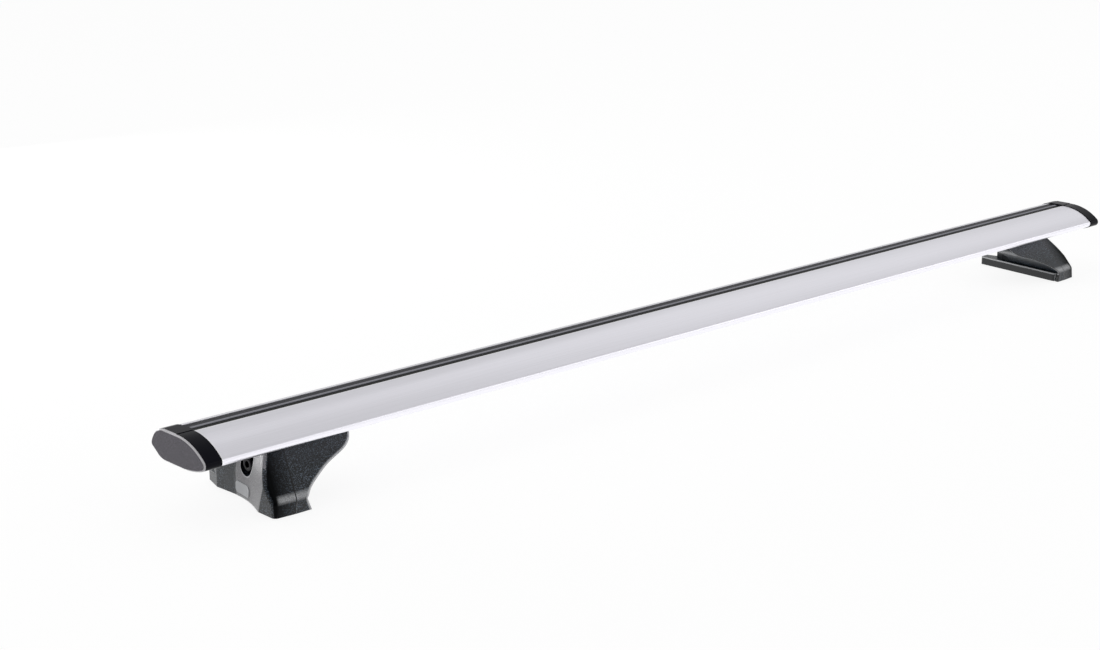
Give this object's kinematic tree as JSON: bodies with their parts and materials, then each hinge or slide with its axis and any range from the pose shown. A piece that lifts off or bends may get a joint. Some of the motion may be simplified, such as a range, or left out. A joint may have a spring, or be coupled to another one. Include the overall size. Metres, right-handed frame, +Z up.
{
  "type": "roof rack crossbar",
  "caption": "Aluminium wing-section roof crossbar with a rubber slot strip, end caps and clamp-on plastic-covered feet.",
  "frame": {"origin": "on the floor under the middle of the bar, halfway along the depth of the feet", "axes": "+X along the bar, +Y across it from the blunt leading edge to the thin trailing edge, +Z up"},
  "size_m": [1.356, 0.1229, 0.0795],
  "materials": {
    "anodised_aluminium": "satin anodised, lightly brushed along the bar",
    "black_rubber": "matt",
    "cap_plastic": "glossy black",
    "grained_plastic": "fine grain, black",
    "bracket_steel": "zinc plated",
    "plated_steel": "zinc plated",
    "plate_plastic": "plain light grey"
  },
  "bodies": {
    "bar": {"bar_extrusion": "anodised_aluminium", "slot_strip": "black_rubber", "left_end_cap": "cap_plastic", "right_end_cap": "cap_plastic"},
    "left_foot": {"left_foot_shell": "grained_plastic", "left_base_plinth": "grained_plastic", "left_rubber_pad": "black_rubber", "left_steel_bracket": "bracket_steel", "left_thrust_washer": "plated_steel", "left_cover_screws": "plated_steel", "left_badge_plate": "plate_plastic"},
    "left_screw": {"left_clamp_screw": "plated_steel"},
    "left_wedge": {"left_clamp_wedge": "bracket_steel"},
    "left_hook": {"left_channel_hook": "bracket_steel"},
    "right_foot": {"right_foot_shell": "grained_plastic", "right_base_plinth": "grained_plastic", "right_rubber_pad": "black_rubber", "right_steel_bracket": "bracket_steel", "right_thrust_washer": "plated_steel", "right_cover_screws": "plated_steel", "right_badge_plate": "plate_plastic"},
    "right_screw": {"right_clamp_screw": "plated_steel"},
    "right_wedge": {"right_clamp_wedge": "bracket_steel"},
    "right_hook": {"right_channel_hook": "bracket_steel"}
  },
  "joints": [
    {"name": "left_foot_slide", "type": "slide", "parent": "bar", "child": "left_foot", "axis": [1, 0, 0], "range_m": [-0.02, 0.15]},
    {"name": "left_screw_turn", "type": "hinge", "parent": "left_foot", "child": "left_screw", "pos_m": [-0.6, -0.00415, 0.033], "axis": [-1, 0, 0], "range_deg": [0, 1728]},
    {"name": "left_wedge_slide", "type": "slide", "parent": "left_foot", "child": "left_wedge", "axis": [1, 0, 0], "range_m": [0, 0.006]},
    {"name": "left_hook_lift", "type": "slide", "parent": "left_foot", "child": "left_hook", "axis": [0, 0, 1], "range_m": [0, 0.0015]},
    {"name": "right_foot_slide", "type": "slide", "parent": "bar", "child": "right_foot", "axis": [-1, 0, 0], "range_m": [-0.02, 0.15]},
    {"name": "right_screw_turn", "type": "hinge", "parent": "right_foot", "child": "right_screw", "pos_m": [0.6, -0.00415, 0.033], "axis": [1, 0, 0], "range_deg": [0, 1728]},
    {"name": "right_wedge_slide", "type": "slide", "parent": "right_foot", "child": "right_wedge", "axis": [-1, 0, 0], "range_m": [0, 0.006]},
    {"name": "right_hook_lift", "type": "slide", "parent": "right_foot", "child": "right_hook", "axis": [0, 0, 1], "range_m": [0, 0.0015]}
  ],
  "couplings": [
    {"joint": "left_wedge_slide", "follows": "left_screw_turn", "m_per_rad": 0.00019894},
    {"joint": "left_hook_lift", "follows": "left_screw_turn", "m_per_rad": 0.00004973},
    {"joint": "right_wedge_slide", "follows": "right_screw_turn", "m_per_rad": 0.00019894},
    {"joint": "right_hook_lift", "follows": "right_screw_turn", "m_per_rad": 0.00004973}
  ]
}
